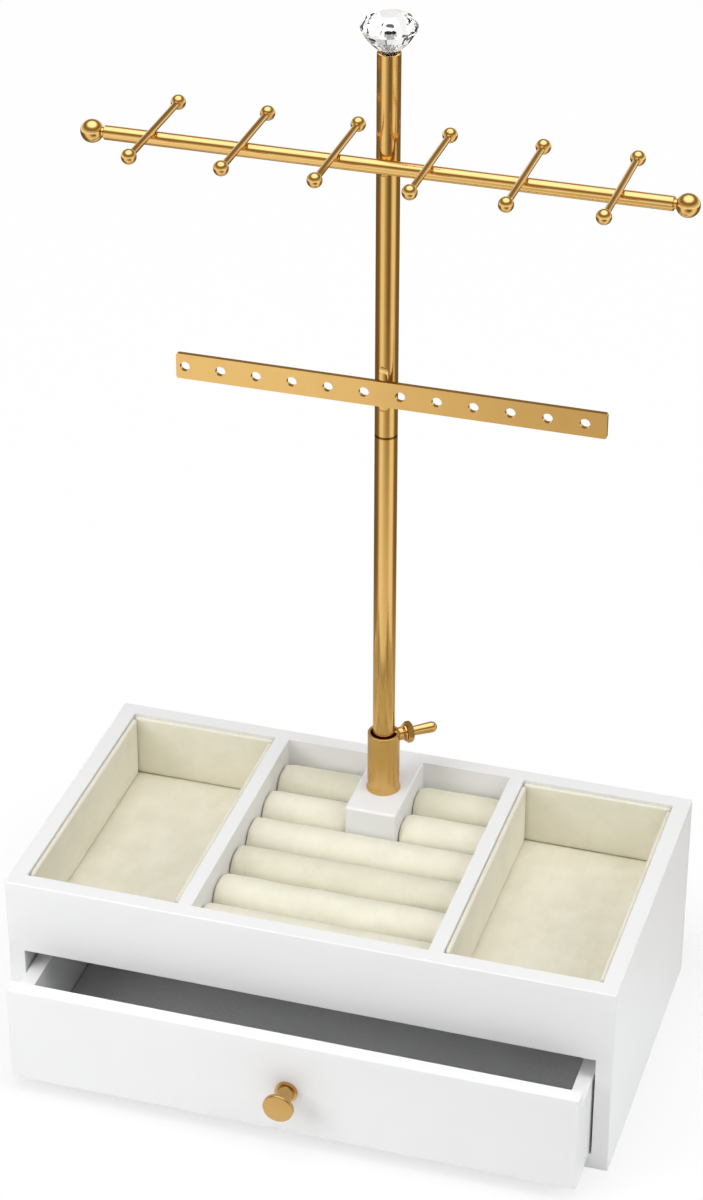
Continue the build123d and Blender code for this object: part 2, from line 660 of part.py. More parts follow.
def knob_screw():
    grip = DRAWER_BOARD + KNOB_SCREW_IN
    return pan_head_screw(KNOB_SCREW_D, grip, KNOB_SCREW_HEAD_D, KNOB_SCREW_HEAD_H,
                          (0, DRAWER_IN_FRONT, KNOB_Z), (0, -1, 0))


def drawer_front():
    board = slab((-DRAWER_X, DRAWER_X), (DRAWER_FACE, DRAWER_IN_FRONT),
                 (DRAWER_BOTTOM, DRAWER_BOTTOM + DRAWER_FRONT_H))
    board = fillet(board.edges().group_by(Axis.Y)[0], DRAWER_EASE)
    board -= drawer_floor_outline()
    board -= rod(KNOB_SCREW_D + 2 * KNOB_SCREW_FIT, (0, DRAWER_IN_FRONT, KNOB_Z), (0, -1, 0), DRAWER_BOARD)
    return drill(board, front_dowels())


def drawer_side(side):
    board = slab((side * DRAWER_IN_X, side * DRAWER_X), (DRAWER_IN_FRONT, DRAWER_END),
                 (DRAWER_BOTTOM, DRAWER_SIDE_TOP))
    return drill(board - drawer_floor_outline(), front_dowels() + back_dowels())


def drawer_back():
    board = slab((-DRAWER_IN_X, DRAWER_IN_X), (DRAWER_IN_BACK, DRAWER_END),
                 (DRAWER_BOTTOM, DRAWER_SIDE_TOP))
    return drill(board - drawer_floor_outline(), back_dowels())


def drawer_felt():
    reach = DRAWER_IN_X - SOFT_GAP
    return slab((-reach, reach), (DRAWER_IN_FRONT + SOFT_GAP, DRAWER_IN_BACK - SOFT_GAP),
                (DRAWER_FLOOR_TOP, DRAWER_FLOOR_TOP + FELT_T))


def drawer_knob():
    """Turned knob: foot, waisted neck and a disc with a slightly domed face."""
    foot_r, neck_r, disc_r = KNOB_FOOT_D / 2, KNOB_NECK_D / 2, KNOB_D / 2
    under = KNOB_PROJECTION - KNOB_CROWN - KNOB_DISC_T
    face = KNOB_PROJECTION - KNOB_CROWN
    waist_r = neck_r + KNOB_WAIST
    outline = [(0, 0), (foot_r, 0), (foot_r, KNOB_FOOT_T)]
    steps = 6
    for step in range(steps + 1):
        angle = pi * step / steps
        outline.append((waist_r - KNOB_WAIST * sin(angle),
                        KNOB_FOOT_T + (under - KNOB_FOOT_T) * step / steps))
    outline += [(disc_r - KNOB_RIM_R / 2, under), (disc_r, under + KNOB_RIM_R / 2)]
    for step in range(steps + 1):
        angle = radians(90 * step / steps)
        outline.append((disc_r - KNOB_RIM_R + KNOB_RIM_R * cos(angle),
                        face - KNOB_RIM_R + KNOB_RIM_R * sin(angle)))
    flat_r = disc_r - KNOB_RIM_R
    for step in range(1, steps):
        share = 1 - step / steps
        outline.append((flat_r * share, face + KNOB_CROWN * (1 - share * share)))
    outline.append((0, KNOB_PROJECTION))
    return turned(outline, (0, DRAWER_FACE, KNOB_Z), (0, -1, 0)) - knob_screw()


# ================================================================ assembly
def main():
    os.makedirs("parts", exist_ok=True)
    places = case_dowel_places()
    all_places = places["rail"] + places["back"] + places["bottom"]

    save("side_board_left", side_board(-1))
    save("side_board_right", side_board(1))
    save("front_rail", front_rail())
    save("back_board", back_board())
    save("bottom_board", bottom_board())
    save("tray_deck", tray_deck())
    save("divider_left", divider(-1))
    save("divider_right", divider(1))
    save_group("case_dowels", case_dowels(-1, all_places) + case_dowels(1, all_places))
    save("pole_block", pole_block())
    save_group("block_screws", block_screws())
    for side, name in ((-1, "left"), (1, "right")):
        save(f"tray_floor_pad_{name}", tray_floor_pad(side))
        save_group(f"tray_wall_lining_{name}", tray_wall_lining(side))
    for name, roll in ring_rolls().items():
        save(name, roll)

    save("pole_sleeve", sleeve())
    save("clamp_screw", clamp_screw())
    save("clamp_nut", clamp_nut())
    save("lower_pole", lower_pole())
    save("lower_pole_socket", lower_pole_socket())
    save("upper_pole", upper_pole())
    save("upper_pole_stud", upper_pole_stud())

    save("hook_bar", hook_bar())
    save("hook_bar_ball_left", mirror(hook_bar_ball(), Plane.YZ))
    save("hook_bar_ball_right", hook_bar_ball())
    for index in range(HOOKS):
        save(f"hook_peg_{index + 1}", hook_peg(index))
    save("hook_bar_weld", hook_bar_weld())
    save("earring_bar", earring_bar())
    save_group("earring_bar_welds", earring_bar_welds())
    save("crystal_finial", crystal())
    save("crystal_stud", gem_stud())
    save("crystal_plug", gem_plug())

    save("drawer_front", drawer_front())
    save("drawer_side_left", drawer_side(-1))
    save("drawer_side_right", drawer_side(1))
    save("drawer_back", drawer_back())
    save("drawer_floor", drawer_floor_outline())
    save("drawer_felt", drawer_felt())
    save_group("drawer_dowels", front_dowels() + back_dowels())
    save("drawer_knob", drawer_knob())
    save("knob_screw", knob_screw())


main()
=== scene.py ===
import bmesh
import bpy
import json
from math import cos, pi, radians, sin
from mathutils import Matrix, Vector, noise


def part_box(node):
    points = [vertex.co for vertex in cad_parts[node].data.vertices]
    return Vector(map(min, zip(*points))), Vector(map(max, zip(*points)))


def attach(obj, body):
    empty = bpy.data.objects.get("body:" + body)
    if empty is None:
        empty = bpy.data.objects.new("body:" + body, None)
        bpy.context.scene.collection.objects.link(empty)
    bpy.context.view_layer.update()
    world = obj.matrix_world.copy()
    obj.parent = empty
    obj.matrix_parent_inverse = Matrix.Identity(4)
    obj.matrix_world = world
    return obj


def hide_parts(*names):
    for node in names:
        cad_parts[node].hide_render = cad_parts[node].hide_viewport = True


# Looks of a jewellery stand: a white painted box with velvet trays and ring
# rolls, an open drawer, and a gold pole with two bars and a cut crystal.
# Metres, in the frame of the solids: X right, Y back, Z up.

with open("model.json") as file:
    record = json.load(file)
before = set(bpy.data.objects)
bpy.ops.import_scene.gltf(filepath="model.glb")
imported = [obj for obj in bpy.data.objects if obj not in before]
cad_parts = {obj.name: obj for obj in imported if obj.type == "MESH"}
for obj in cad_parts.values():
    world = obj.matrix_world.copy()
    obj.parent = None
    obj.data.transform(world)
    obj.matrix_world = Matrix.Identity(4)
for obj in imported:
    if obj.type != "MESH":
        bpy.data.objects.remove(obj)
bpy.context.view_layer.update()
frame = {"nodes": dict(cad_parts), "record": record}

MM = 0.001

# the finish of each slot's solids, and the two gold pieces that are duller; the knob's gold also has
# painted shade, darker all over
RIGID_FINISH = {
    "white_paint": "painted_board",
    "gold_metal": "bright_gold",
    "clear_crystal": "cut_crystal",
    "plain_steel": "zinc_steel",
    "beech_dowel": "beech",
}
SPECIAL_FINISH = {"pole_sleeve": "matt_gold", "drawer_knob": "knob_gold"}

# camera, in metres, degrees, picture pixels and millimetres of sensor
CAMERA_PLACE = (0.42306, -1.38997, 1.13945)
CAMERA_AZIMUTH = 17.014
CAMERA_ELEVATION = 31.069
CAMERA_ROLL = 0.110
FOCAL_PIXELS = 3309.0
PICTURE_HEIGHT = 1200.0
SENSOR = 36.0

POLE_Y = 0.053              # the pole's axis
POLE_JOINT_Z = 0.3337       # where the upper pole stands on the lower


# ---------------------------------------------------------------- node maths
class Wire:
    """One output of a node. Arithmetic on it adds Math nodes."""

    def __init__(self, tree, socket):
        self.tree = tree
        self.socket = socket

    def calc(self, operation, *values):
        return add_node(self.tree, "ShaderNodeMath", {"operation": operation}, list(values))

    def __add__(self, other):
        return self.calc("ADD", self, other)

    def __radd__(self, other):
        return self.calc("ADD", other, self)

    def __sub__(self, other):
        return self.calc("SUBTRACT", self, other)

    def __rsub__(self, other):
        return self.calc("SUBTRACT", other, self)

    def __mul__(self, other):
        return self.calc("MULTIPLY", self, other)

    def __rmul__(self, other):
        return self.calc("MULTIPLY", other, self)

    def __pow__(self, other):
        return self.calc("POWER", self, other)


def add_node(tree, kind, settings=None, inputs=None, output=0):
    """Any node: its settings first, then its sockets by name or by order."""
    node = tree.nodes.new(kind)
    for name, value in (settings or {}).items():
        if name == "stops":
            set_stops(node.color_ramp, value)
        else:
            setattr(node, name, value)
    pairs = inputs.items() if isinstance(inputs, dict) else enumerate(inputs or [])
    for key, value in pairs:
        if isinstance(value, Wire):
            tree.links.new(value.socket, node.inputs[key])
        elif value is not None:
            node.inputs[key].default_value = value
    return Wire(tree, node.outputs[output])


def set_stops(ramp, stops):
    """Grey levels at places along a ramp."""
    while len(ramp.elements) < len(stops):
        ramp.elements.new(1.0)
    for element, (place, shade) in zip(ramp.elements, stops):
        element.position = place
        element.color = (shade, shade, shade, 1.0)


def smooth_step(tree, wire, start, end):
    """0 at start, 1 at end, smooth between and level beyond."""
    return add_node(tree, "ShaderNodeMapRange", {"interpolation_type": "SMOOTHSTEP"},
                    [wire, start, end, 0.0, 1.0])


class Finish:
    """A material being mixed, with the wires that its patterns start from."""

    def __init__(self, name, **constants):
        self.material = bpy.data.materials.new(name)
        self.material.use_nodes = True
        self.tree = self.material.node_tree
        self.shader = self.tree.nodes["Principled BSDF"]
        self.place = self.node("ShaderNodeTexCoord", output=3)
        for socket, value in constants.items():
            self.set(socket.replace("_", " ").title().replace("Ior", "IOR"), value)

    def node(self, kind, settings=None, inputs=None, output=0):
        return add_node(self.tree, kind, settings, inputs, output)

    def set(self, socket, value):
        if isinstance(value, Wire):
            self.tree.links.new(value.socket, self.shader.inputs[socket])
        else:
            self.shader.inputs[socket].default_value = value

    def cloud(self, size, detail=3.0, rough=0.5, stretch=None):
        """Noise from 0 to 1 whose blotches are about size metres across."""
        where = self.place
        if stretch:
            where = self.node("ShaderNodeMapping", None, {"Vector": where, "Scale": stretch})
        return self.node("ShaderNodeTexNoise", None,
                         {"Vector": where, "Scale": 1 / size, "Detail": detail, "Roughness": rough})

    def between(self, low, high, wire):
        """The wire's 0 to 1 mapped from low to high."""
        return low + (high - low) * wire

    def window(self, wire, start, end):
        return smooth_step(self.tree, wire, start, end)

    def mix(self, factor, first, second):
        """Two colours mixed by a wire."""
        colours = [value if isinstance(value, Wire) else (*value, 1.0) for value in (first, second)]
        return self.node("ShaderNodeMix", {"data_type": "RGBA"},
                         {0: factor, 6: colours[0], 7: colours[1]}, output=2)

    def bump(self, height, depth):
        """A relief of depth metres for a height that runs from 0 to 1."""
        self.set("Normal", self.node("ShaderNodeBump", None,
                                     {"Strength": 1.0, "Distance": depth, "Height": height}))


# ---------------------------------------------------------------- finishes
def painted_board():
    """Sprayed white lacquer on fibreboard: faint orange peel and cloudiness."""
    paint = Finish("painted_board", coat_roughness=0.25, specular_ior_level=0.3)
    cloudy = paint.cloud(0.05, detail=2)
    peel = paint.cloud(0.0022, detail=2, rough=0.4)
    specks = paint.window(paint.cloud(0.0009, detail=1), 0.72, 0.8)
    shade = paint.mix(cloudy, (0.845, 0.848, 0.852), (0.872, 0.872, 0.870))
    paint.set("Base Color", paint.mix(specks * 0.25, shade, (0.78, 0.78, 0.77)))
    paint.set("Roughness", paint.between(0.36, 0.5, paint.cloud(0.012)))
    paint.set("Coat Weight", paint.between(0.05, 0.1, cloudy))
    paint.bump(peel, 0.00004)
    return paint.material


def satin_gold(name, smooth, rubbed, painted_shade=0.0):
    """Lacquered gold plating: soft clouding, a drawn grain; painted shade as a dark line at the pole's
    joint (the gap's shade, with some grime) and, by painted_shade, all over.
    """
    gold = Finish(name, metallic=1.0, specular_tint=(0.80, 0.66, 0.48, 1.0), coat_roughness=0.1)
    warmth = gold.cloud(0.02, detail=2)
    grain = gold.cloud(0.0009, detail=2, stretch=(1.0, 1.0, 0.15))
    smear = gold.cloud(0.008)
    height = gold.node("ShaderNodeSeparateXYZ", None, [gold.place], 2)
    # painted shade: a thin dark band where the gap between the poles lies in shade, partly grime; the
    # coat is taken off there too
    joint = (gold.window(height, POLE_JOINT_Z - 0.0011, POLE_JOINT_Z - 0.0005)
             * gold.window(height, POLE_JOINT_Z + 0.0008, POLE_JOINT_Z + 0.0002))
    tone = gold.mix(warmth, (0.68, 0.405, 0.11), (0.73, 0.44, 0.13))
    tone = gold.mix(gold.window(smear, 0.5, 0.8) * 0.3, tone, (0.63, 0.36, 0.09))
    # painted shade: dark brown mixed into the whole colour by the painted_shade share
    tone = gold.mix(painted_shade, tone, (0.36, 0.20, 0.05))
    gold.set("Base Color", gold.mix(joint * 0.85, tone, (0.05, 0.02, 0.005)))
    gold.set("Roughness", gold.between(smooth, rubbed, smear))
    gold.set("Coat Weight", gold.between(0.7, 0.9, warmth) * (1.0 - joint))
    gold.bump(grain, 0.0000015)
    return gold.material


def velvet(name, lying, standing):
    """Short pile between two shades: darker where it lies over, pale where it stands, and painted
    glints where tufts catch the light.
    """
    pile = Finish(name, sheen_weight=0.25, sheen_roughness=0.5,
                  sheen_tint=(1.0, 0.98, 0.9, 1.0), specular_ior_level=0.1)
    brushed = pile.cloud(0.018, detail=2)
    strokes = pile.cloud(0.006, detail=4, rough=0.6, stretch=(1.0, 0.4, 1.0))
    tufts = pile.cloud(0.0007, detail=2, rough=0.7)
    lie = pile.window(0.6 * brushed + 0.4 * strokes, 0.36, 0.64)
    # painted glint: pale specks of light on the tufts, mixed into the colour
    painted_glint = pile.window(tufts, 0.35, 0.75)
    tone = pile.mix(lie, lying, standing)
    pile.set("Base Color", pile.mix(painted_glint * 0.22, tone, (0.89, 0.87, 0.76)))
    pile.set("Roughness", pile.between(0.82, 0.98, tufts))
    pile.bump(tufts * 0.8 + brushed * 0.2, 0.0002)
    return pile.material


def grey_felt():
    """Pressed grey felt with loose light and dark fibres."""
    felt = Finish("grey_felt", sheen_weight=0.2, sheen_roughness=0.6, specular_ior_level=0.1)
    matted = felt.cloud(0.009, detail=4, rough=0.6)
    fibres = felt.cloud(0.0008, detail=3, rough=0.75, stretch=(1.0, 0.45, 1.0))
    light = felt.window(fibres, 0.56, 0.7)
    tone = felt.mix(matted, (0.68, 0.682, 0.685), (0.76, 0.762, 0.765))
    felt.set("Base Color", felt.mix(light * 0.4, tone, (0.84, 0.84, 0.84)))
    felt.set("Roughness", felt.between(0.85, 1.0, matted))
    felt.bump(fibres, 0.0003)
    return felt.material


def cut_crystal():
    """Clear cut stone, polished, with hardly visible handling marks."""
    stone = Finish("cut_crystal", transmission_weight=1.0, ior=1.6)
    marks = stone.window(stone.cloud(0.002, detail=4, rough=0.7), 0.6, 0.8)
    stone.set("Base Color", stone.mix(marks * 0.3, (0.99, 0.99, 0.99), (0.93, 0.95, 0.97)))
    stone.set("Roughness", marks * 0.03)
    return stone.material


def zinc_steel():
    """Plain zinc-plated steel."""
    steel = Finish("zinc_steel", metallic=1.0)
    grain = steel.cloud(0.0015, detail=3)
    steel.set("Base Color", steel.mix(grain, (0.50, 0.50, 0.52), (0.66, 0.66, 0.66)))
    steel.set("Roughness", steel.between(0.3, 0.45, grain))
    steel.bump(grain, 0.00001)
    return steel.material


def beech():
    """Bare beech with short dark flecks."""
    wood = Finish("beech", specular_ior_level=0.3)
    grain = wood.cloud(0.0012, detail=4, stretch=(0.15, 1.0, 1.0))
    flecks = wood.window(wood.cloud(0.0018, detail=1, stretch=(0.4, 1.0, 1.0)), 0.62, 0.72)
    tone = wood.mix(grain, (0.52, 0.33, 0.18), (0.68, 0.47, 0.28))
    wood.set("Base Color", wood.mix(flecks * 0.6, tone, (0.35, 0.19, 0.09)))
    wood.set("Roughness", wood.between(0.55, 0.75, grain))
    wood.bump(grain, 0.00005)
    return wood.material


# ---------------------------------------------------------------- mesh tools
TOUCH = 1e-6                # two places closer than this are one


def to_object(bm, name, material):
    """Makes a bmesh an object of the scene, smooth and facing outwards."""
    bmesh.ops.recalc_face_normals(bm, faces=bm.faces[:])
    for face in bm.faces:
        face.smooth = True
    mesh = bpy.data.meshes.new(name)
    bm.to_mesh(mesh)
    bm.free()
    mesh.materials.append(material)
    obj = bpy.data.objects.new(name, mesh)
    bpy.context.scene.collection.objects.link(obj)
    return obj


def block(low, high):
    """A bmesh box between two corners."""
    bm = bmesh.new()
    bmesh.ops.create_cube(bm, size=1.0)
    low, high = Vector(low), Vector(high)
    bmesh.ops.scale(bm, vec=high - low, verts=bm.verts)
    bmesh.ops.translate(bm, vec=(low + high) / 2, verts=bm.verts)
    return bm


def round_edges(bm, wanted, radius, segments):
    """Rounds the edges that pass the test."""
    edges = [edge for edge in bm.edges if wanted(edge)]
    bmesh.ops.bevel(bm, geom=edges, offset=radius, offset_type="OFFSET", affect="EDGES",
                    segments=segments, profile=0.5, material=-1)


def slice_evenly(bm, axis, step):
    """Cuts the mesh across an axis about every step metres."""
    places = [vert.co[axis] for vert in bm.verts]
    low, high = min(places), max(places)
    count = max(2, round((high - low) / step))
    normal = Vector([float(i == axis) for i in range(3)])
    for i in range(1, count):
        spot = normal * (low + (high - low) * i / count)
        bmesh.ops.bisect_plane(bm, geom=bm.verts[:] + bm.edges[:] + bm.faces[:], dist=TOUCH,
                               plane_co=spot, plane_no=normal)


def along(edge, axis):
    """True for an edge that runs along an axis."""
    run = edge.verts[1].co - edge.verts[0].co
    return abs(run[axis]) > 0.99 * run.length


def middle(edge):
    return (edge.verts[0].co + edge.verts[1].co) / 2


def wave(place, size, seed):
    """Smooth noise from -1 to 1, the same on every run."""
    return noise.noise(Vector(place) / size + Vector((seed * 7.3, seed * 3.1, seed * 1.7)))


def keep_modifier(obj):
    """Puts what the modifiers make in the mesh and takes them off."""
    graph = bpy.context.evaluated_depsgraph_get()
    made = bpy.data.meshes.new_from_object(obj.evaluated_get(graph))
    obj.modifiers.clear()
    old = obj.data
    obj.data = made
    made.name = old.name
    bpy.data.meshes.remove(old)


def subdivide(obj):
    smooth = obj.modifiers.new("Smooth", "SUBSURF")
    smooth.levels = 1
    smooth.render_levels = 1


# ---------------------------------------------------------------- soft pieces
STUFFING_FRAMES = 20
STUFFING_PRESSURE = 4.0


def stuff(obj, base_z, voxel, cap):
    """Fills a cushion: even mesh, air pressure from inside, base held down."""
    remesh = obj.modifiers.new("Even", "REMESH")
    remesh.mode = "VOXEL"
    remesh.voxel_size = voxel
    keep_modifier(obj)
    held = obj.vertex_groups.new(name="base")
    held.add([v.index for v in obj.data.vertices if v.co.z < base_z + 0.6 * voxel], 1.0, "REPLACE")
    start = [vertex.co.copy() for vertex in obj.data.vertices]
    cloth = obj.modifiers.new("Stuffing", "CLOTH")
    cloth.settings.use_pressure = True
    cloth.settings.uniform_pressure_force = STUFFING_PRESSURE
    cloth.settings.vertex_group_mass = "base"
    cloth.settings.effector_weights.gravity = 0.0
    cloth.point_cache.frame_end = STUFFING_FRAMES
    for step in range(1, STUFFING_FRAMES + 1):
        bpy.context.scene.frame_set(step)
    keep_modifier(obj)
    bpy.context.scene.frame_set(1)
    for vertex, old in zip(obj.data.vertices, start):
        move = vertex.co - old
        if move.length > cap:
            vertex.co = old + move * (cap / move.length)
    obj.vertex_groups.clear()
    for face in obj.data.polygons:
        face.use_smooth = True


ROLL_SHRINK = 1.0 * MM      # left for the stuffing to fill
ROLL_END_ROUND = 2.4 * MM
ROLL_VOXEL = 3.0 * MM
ROLL_SWELL_CAP = 1.1 * MM   # the most that the stuffing moves a point
PUCKER_REACH = 9 * MM       # how far from its end a roll is puckered
PUCKERS = 2400              # radians of pucker to a metre


def ring_roll(node, seed, material):
    """One stuffed roll: round crown, tucked ends, a little uneven by hand."""
    low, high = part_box(node)
    inset = Vector((-0.15 * ROLL_SHRINK, ROLL_SHRINK, 0))
    low = low + inset
    high = high - inset - Vector((0, 0, ROLL_SHRINK))
    bm = block(low, high)
    radius = (high.y - low.y) / 2 * 0.98
    round_edges(bm, lambda e: along(e, 0) and middle(e).z > high.z - TOUCH, radius, 10)
    ends = (low.x + TOUCH, high.x - TOUCH)
    round_edges(bm, lambda e: not ends[0] < middle(e).x < ends[1] and middle(e).z > low.z + TOUCH,
                ROLL_END_ROUND, 4)
    roll = to_object(bm, f"{node}_velvet", material)
    stuff(roll, low.z, ROLL_VOXEL, ROLL_SWELL_CAP)
    centre = (low.y + high.y) / 2
    for vertex in roll.data.vertices:
        place = vertex.co
        rise = (place.z - low.z) / (high.z - low.z)
        out = Vector((0, place.y - centre, place.z - low.z)).normalized()
        swell = 0.35 * wave(place, 0.022, seed) + 0.18 * wave(place, 0.009, seed + 5)
        near_end = min(place.x - low.x, high.x - place.x)
        pucker = max(0.0, 1 - near_end / PUCKER_REACH) * 0.2 * sin(place.y * PUCKERS + seed)
        vertex.co = place + out * (swell + pucker - 0.25) * MM * min(1.0, rise * 2)
    subdivide(roll)
    finish_soft(roll, node, "box")


def finish_soft(piece, node, body):
    """Puts a soft piece on its body in place of its plain solid."""
    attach(piece, body)
    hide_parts(node)


WALL_SWELL = 0.45 * MM
WALL_T = 2.7 * MM
WALL_LIP_ROUND = 1.15 * MM
WALL_CELL = 5 * MM          # its mesh's spacing
WALL_SNUG = 0.2 * MM        # how far it is pressed out towards the boards
WALL_SAG = 0.35 * MM        # the lip's, for a strip one metre long


def lining_strip(low, high, inward, seed):
    """One padded wall strip; inward is its free face's direction."""
    bm = block(low, high)
    length_axis = 1 if abs(inward[0]) else 0
    round_edges(bm, lambda e: along(e, length_axis) and middle(e).z > high.z - TOUCH, WALL_LIP_ROUND, 3)
    slice_evenly(bm, length_axis, WALL_CELL)
    slice_evenly(bm, 2, WALL_CELL)
    span = high.z - low.z
    length = high[length_axis] - low[length_axis]
    for vertex in bm.verts:
        place = vertex.co
        depth = (place - (low + high) / 2).dot(Vector(inward))
        if depth < 0.1 * MM:
            continue
        share = (place.z - low.z) / span
        end = min(place[length_axis] - low[length_axis], high[length_axis] - place[length_axis])
        belly = sin(pi * min(1.0, max(0.0, share))) ** 0.6 * min(1.0, end / 0.008)
        ripple = wave(place, 0.03, seed) + 0.5 * wave(place, 0.012, seed + 3)
        move = belly * WALL_SWELL * (0.7 + 0.8 * ripple)
        sag = WALL_SAG * (0.5 + wave((place[length_axis], 0, 0), 0.04, seed + 8)) * share ** 4
        vertex.co = place + Vector(inward) * move - Vector((0, 0, sag * length))
    return bm


def tray_lining(side, seed, material):
    """Four wall strips of one tray, the long pair between the short."""
    node = f"tray_wall_lining_{side}"
    low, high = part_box(node)
    snug = Vector((WALL_SNUG, WALL_SNUG, 0))
    low, high = low - snug, high + snug
    t = WALL_T
    strips = [
        (low, Vector((high.x, low.y + t, high.z)), (0, 1, 0)),
        (Vector((low.x, high.y - t, low.z)), high, (0, -1, 0)),
        (Vector((low.x, low.y + t, low.z)), Vector((low.x + t, high.y - t, high.z)), (1, 0, 0)),
        (Vector((high.x - t, low.y + t, low.z)), Vector((high.x, high.y - t, high.z)), (-1, 0, 0)),
    ]
    whole = bmesh.new()
    for i, (start, end, inward) in enumerate(strips):
        strip = lining_strip(start, end, inward, seed + i)
        spare = bpy.data.meshes.new("spare")
        strip.to_mesh(spare)
        strip.free()
        whole.from_mesh(spare)
        bpy.data.meshes.remove(spare)
    lining = to_object(whole, f"{node}_velvet", material)
    subdivide(lining)
    finish_soft(lining, node, "box")


PAD_CELL = 6 * MM


def thin_pad(node, name, body, seed, undulation, material):
    """A flat pad with soft edges and a gently uneven top."""
    low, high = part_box(node)
    bm = block(low, high)
    round_edges(bm, lambda e: abs(middle(e).z - high.z) < TOUCH, 0.45 * (high.z - low.z), 3)
    slice_evenly(bm, 0, PAD_CELL)
    slice_evenly(bm, 1, PAD_CELL)
    for vertex in bm.verts:
        if vertex.co.z > high.z - 0.1 * MM:
            ripple = wave(vertex.co, 0.03, seed) + 0.5 * wave(vertex.co, 0.012, seed)
            vertex.co.z += undulation * ripple
    pad = to_object(bm, name, material)
    subdivide(pad)
    finish_soft(pad, node, body)


# ---------------------------------------------------------------- dressing
def dress_solids(finishes):
    """Gives every solid that stays in view its finish."""
    slots = {part["node"]: part["material_slot"] for part in frame["record"]["subparts"]}
    for node, obj in frame["nodes"].items():
        name = RIGID_FINISH.get(slots[node])
        if name is None:
            continue
        obj.data.materials.clear()
        obj.data.materials.append(finishes[SPECIAL_FINISH.get(node, name)])


DIM_ROWS = ("1", "4")       # rows of rolls in the darker, greener copy of the roll velvet


def make_soft_pieces(wall, floor, pale, dim, grey):
    """Rolls, linings and pads, each in its fabric."""
    rolls = sorted(node for node in frame["nodes"] if node.startswith("ring_roll_"))
    for seed, node in enumerate(rolls):
        ring_roll(node, seed + 1, dim if node.split("_")[2] in DIM_ROWS else pale)
    for seed, side in enumerate(("left", "right")):
        tray_lining(side, 20 + 10 * seed, wall)
        node = f"tray_floor_pad_{side}"
        thin_pad(node, f"{node}_velvet", "box", 40 + seed, 0.18 * MM, floor)
    thin_pad("drawer_felt", "drawer_felt_sheet", "drawer", 50, 0.12 * MM, grey)


# ---------------------------------------------------------------- stage
FLOOR_GLOW = 0.985          # how much of the floor seen is plain white, away from the box
SHADOW_GLOW = 0.66          # and beside it, where the rest shows its shadow
SHADOW_REACH = 0.11
FOOT_HALF = (0.165, 0.106)  # half the box's width and depth with the drawer open
FOOT_Y = -0.015
FLOOR_RADIUS = 6.0
FLOOR_DROP = 0.2 * MM
MIRROR_END = (2.4, 1.8)     # metres from the pole at which the mirrored pattern fades out
GAP_REACH = (0.15, 0.9)
BACK_REACH = (0.0, 0.5)
# painted reflection: how bright the studio floor glows round the object, by compass, for mirrors only:
# 0 is left, a quarter is front; the first is the gap at the front, the second the back
GAP_STOPS = ((0.0, 1.0), (0.19, 1.0), (0.225, 0.66), (0.255, 0.47), (0.305, 0.2), (0.365, 0.2),
             (0.42, 1.0))
BACK_STOPS = ((0.0, 0.2), (0.065, 0.24), (0.125, 1.0), (0.49, 1.0), (0.55, 0.22), (1.0, 0.18))


def ray_is(tree, *kinds):
    """1 for a ray of any of the kinds."""
    outputs = [add_node(tree, "ShaderNodeLightPath", output=kind) for kind in kinds]
    total = outputs[0]
    for wire in outputs[1:]:
        total = total.calc("MAXIMUM", total, wire)
    return total


def by_compass(tree, where, stops):
    """A level by the direction of a point from the pole, seen from above."""
    compass = add_node(tree, "ShaderNodeTexGradient", {"gradient_type": "RADIAL"}, {"Vector": where}, 1)
    return add_node(tree, "ShaderNodeValToRGB", {"stops": stops}, [compass])


def studio_tone(tree, level):
    """The studio's colour at a level from 0 to 1: white light, warm shadows."""
    return add_node(tree, "ShaderNodeCombineColor", None,
                    [level * 1.15, level ** 1.15 * 1.17, level ** 1.5 * 1.2])


# painted dark streaks for the cut stone, seen only through it
SLITS = 13
SLIT_EDGE = (0.30, 0.40)
SLIT_DEPTH = 0.9
STONE_TURNS = (2.4, 2.6)    # between a ray's second and third turn


def glass_level(tree, where):
    """White, with painted dark slits by compass for light that has turned about inside the stone."""
    compass = add_node(tree, "ShaderNodeTexGradient", {"gradient_type": "RADIAL"}, {"Vector": where}, 1)
    slit = smooth_step(tree, compass.calc("PINGPONG", compass * SLITS, 0.5), *SLIT_EDGE)
    turned = smooth_step(tree, ray_is(tree, "Ray Depth"), *STONE_TURNS)
    return 1.0 - SLIT_DEPTH * slit * turned


